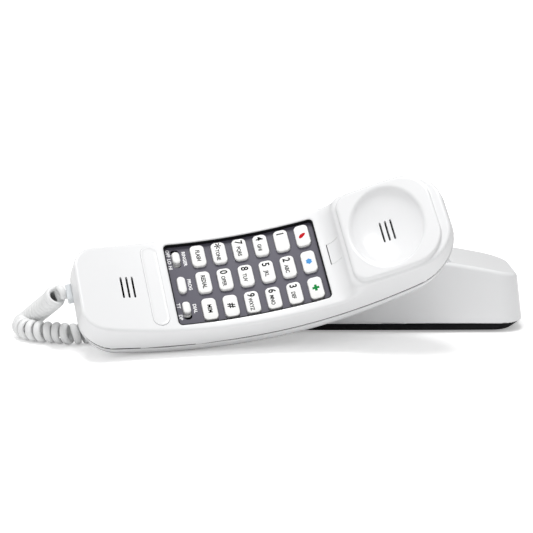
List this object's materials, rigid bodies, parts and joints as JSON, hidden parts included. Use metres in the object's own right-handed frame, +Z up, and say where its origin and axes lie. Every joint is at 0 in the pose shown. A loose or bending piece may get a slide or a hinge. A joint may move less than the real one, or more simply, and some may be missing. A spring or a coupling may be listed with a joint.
{
  "type": "corded slimline telephone",
  "caption": "Slimline corded telephone: a curved keypad handset leaning on its low cradle base, with a coiled cord, push keys, slide switches and a hook lever.",
  "frame": {"origin": "on the table, under the middle of the whole telephone as it stands", "axes": "+X along the base from the cord end to the earpiece end, +Y towards the back of the base, +Z up"},
  "size_m": [0.292, 0.1344, 0.0936],
  "materials": {
    "white_shell": "glossy moulded, very fine texture",
    "key_white": "satin moulded",
    "slate_panel": "satin with a fine texture",
    "soft_rubber": "matte",
    "circuit_board": "solder mask",
    "steel": "zinc plated",
    "cord_white": "soft satin vinyl",
    "clear_plastic": "clear moulded",
    "grey_plastic": "satin",
    "black_plastic": "satin"
  },
  "bodies": {
    "base": {"base_housing": "white_shell", "base_plate": "black_plastic", "ballast_weight": "steel", "base_circuit_board": "circuit_board", "base_cord_socket": "black_plastic", "line_cord_socket": "black_plastic", "cord_plug_base": "clear_plastic", "wall_hook_tab": "white_shell", "foot_1": "soft_rubber", "foot_2": "soft_rubber", "foot_3": "soft_rubber", "foot_4": "soft_rubber", "base_screw_1": "steel", "base_screw_2": "steel", "base_screw_3": "steel", "base_screw_4": "steel", "coil_cord": "cord_white"},
    "handset": {"handset_front_shell": "white_shell", "handset_back_shell": "white_shell", "handset_screw_1": "steel", "handset_screw_2": "steel", "handset_screw_3": "steel", "nameplate": "white_shell", "keypad_panel": "slate_panel", "keypad_membrane": "soft_rubber", "main_circuit_board": "circuit_board", "ringer_switch_body": "black_plastic", "dial_switch_body": "black_plastic", "hook_switch_spring": "steel", "receiver_gasket": "soft_rubber", "receiver_capsule": "grey_plastic", "microphone_boot": "soft_rubber", "microphone_capsule": "steel", "ringer_sounder": "black_plastic", "handset_cord_socket": "black_plastic", "cord_plug_handset": "clear_plastic"},
    "key_flash": {"key_flash": "key_white"},
    "key_redial": {"key_redial": "key_white"},
    "key_mem": {"key_mem": "key_white"},
    "key_star": {"key_star": "key_white"},
    "key_0": {"key_0": "key_white"},
    "key_pound": {"key_pound": "key_white"},
    "key_7": {"key_7": "key_white"},
    "key_8": {"key_8": "key_white"},
    "key_9": {"key_9": "key_white"},
    "key_4": {"key_4": "key_white"},
    "key_5": {"key_5": "key_white"},
    "key_6": {"key_6": "key_white"},
    "key_1": {"key_1": "key_white"},
    "key_2": {"key_2": "key_white"},
    "key_3": {"key_3": "key_white"},
    "key_fire": {"key_fire": "key_white"},
    "key_police": {"key_police": "key_white"},
    "key_medical": {"key_medical": "key_white"},
    "prog_button": {"prog_button": "key_white"},
    "ringer_knob": {"ringer_knob": "key_white"},
    "dial_knob": {"dial_knob": "key_white"},
    "hook_lever": {"hook_lever": "white_shell"}
  },
  "joints": [
    {"name": "handset_lift", "type": "slide", "parent": "base", "child": "handset", "axis": [0, 0, 1], "range_m": [0, 0.15], "deforming": ["coil_cord"]},
    {"name": "key_flash_press", "type": "slide", "parent": "handset", "child": "key_flash", "axis": [-0.1009, 0.7292, -0.6768], "range_m": [0, 0.0015], "stiffness_N_per_m": 400},
    {"name": "key_redial_press", "type": "slide", "parent": "handset", "child": "key_redial", "axis": [-0.1009, 0.7292, -0.6768], "range_m": [0, 0.0015], "stiffness_N_per_m": 400},
    {"name": "key_mem_press", "type": "slide", "parent": "handset", "child": "key_mem", "axis": [-0.1009, 0.7292, -0.6768], "range_m": [0, 0.0015], "stiffness_N_per_m": 400},
    {"name": "key_star_press", "type": "slide", "parent": "handset", "child": "key_star", "axis": [-0.0518, 0.7391, -0.6716], "range_m": [0, 0.0015], "stiffness_N_per_m": 400},
    {"name": "key_0_press", "type": "slide", "parent": "handset", "child": "key_0", "axis": [-0.0518, 0.7391, -0.6716], "range_m": [0, 0.0015], "stiffness_N_per_m": 400},
    {"name": "key_pound_press", "type": "slide", "parent": "handset", "child": "key_pound", "axis": [-0.0518, 0.7391, -0.6716], "range_m": [0, 0.0015], "stiffness_N_per_m": 400},
    {"name": "key_7_press", "type": "slide", "parent": "handset", "child": "key_7", "axis": [-0.0025, 0.7472, -0.6646], "range_m": [0, 0.0015], "stiffness_N_per_m": 400},
    {"name": "key_8_press", "type": "slide", "parent": "handset", "child": "key_8", "axis": [-0.0025, 0.7472, -0.6646], "range_m": [0, 0.0015], "stiffness_N_per_m": 400},
    {"name": "key_9_press", "type": "slide", "parent": "handset", "child": "key_9", "axis": [-0.0025, 0.7472, -0.6646], "range_m": [0, 0.0015], "stiffness_N_per_m": 400},
    {"name": "key_4_press", "type": "slide", "parent": "handset", "child": "key_4", "axis": [0.0468, 0.7533, -0.656], "range_m": [0, 0.0015], "stiffness_N_per_m": 400},
    {"name": "key_5_press", "type": "slide", "parent": "handset", "child": "key_5", "axis": [0.0468, 0.7533, -0.656], "range_m": [0, 0.0015], "stiffness_N_per_m": 400},
    {"name": "key_6_press", "type": "slide", "parent": "handset", "child": "key_6", "axis": [0.0468, 0.7533, -0.656], "range_m": [0, 0.0015], "stiffness_N_per_m": 400},
    {"name": "key_1_press", "type": "slide", "parent": "handset", "child": "key_1", "axis": [0.096, 0.7576, -0.6456], "range_m": [0, 0.0015], "stiffness_N_per_m": 400},
    {"name": "key_2_press", "type": "slide", "parent": "handset", "child": "key_2", "axis": [0.096, 0.7576, -0.6456], "range_m": [0, 0.0015], "stiffness_N_per_m": 400},
    {"name": "key_3_press", "type": "slide", "parent": "handset", "child": "key_3", "axis": [0.096, 0.7576, -0.6456], "range_m": [0, 0.0015], "stiffness_N_per_m": 400},
    {"name": "key_fire_press", "type": "slide", "parent": "handset", "child": "key_fire", "axis": [0.1449, 0.7599, -0.6337], "range_m": [0, 0.0015], "stiffness_N_per_m": 400},
    {"name": "key_police_press", "type": "slide", "parent": "handset", "child": "key_police", "axis": [0.1449, 0.7599, -0.6337], "range_m": [0, 0.0015], "stiffness_N_per_m": 400},
    {"name": "key_medical_press", "type": "slide", "parent": "handset", "child": "key_medical", "axis": [0.1449, 0.7599, -0.6337], "range_m": [0, 0.0015], "stiffness_N_per_m": 400},
    {"name": "prog_button_press", "type": "slide", "parent": "handset", "child": "prog_button", "axis": [-0.1519, 0.7169, -0.6805], "range_m": [0, 0.0015], "stiffness_N_per_m": 400},
    {"name": "ringer_slide", "type": "slide", "parent": "handset", "child": "ringer_knob", "axis": [0.2094, -0.6495, -0.731], "range_m": [-0.002, 0.002]},
    {"name": "dial_slide", "type": "slide", "parent": "handset", "child": "dial_knob", "axis": [0.2094, -0.6495, -0.731], "range_m": [0, 0.003]},
    {"name": "hook_press", "type": "hinge", "parent": "handset", "child": "hook_lever", "pos_m": [0.03274, -0.02455, 0.05017], "axis": [-0.2094, 0.6495, 0.731], "range_deg": [0, 12], "stiffness_Nm_per_rad": 0.02, "deforming": ["hook_switch_spring"]}
  ]
}
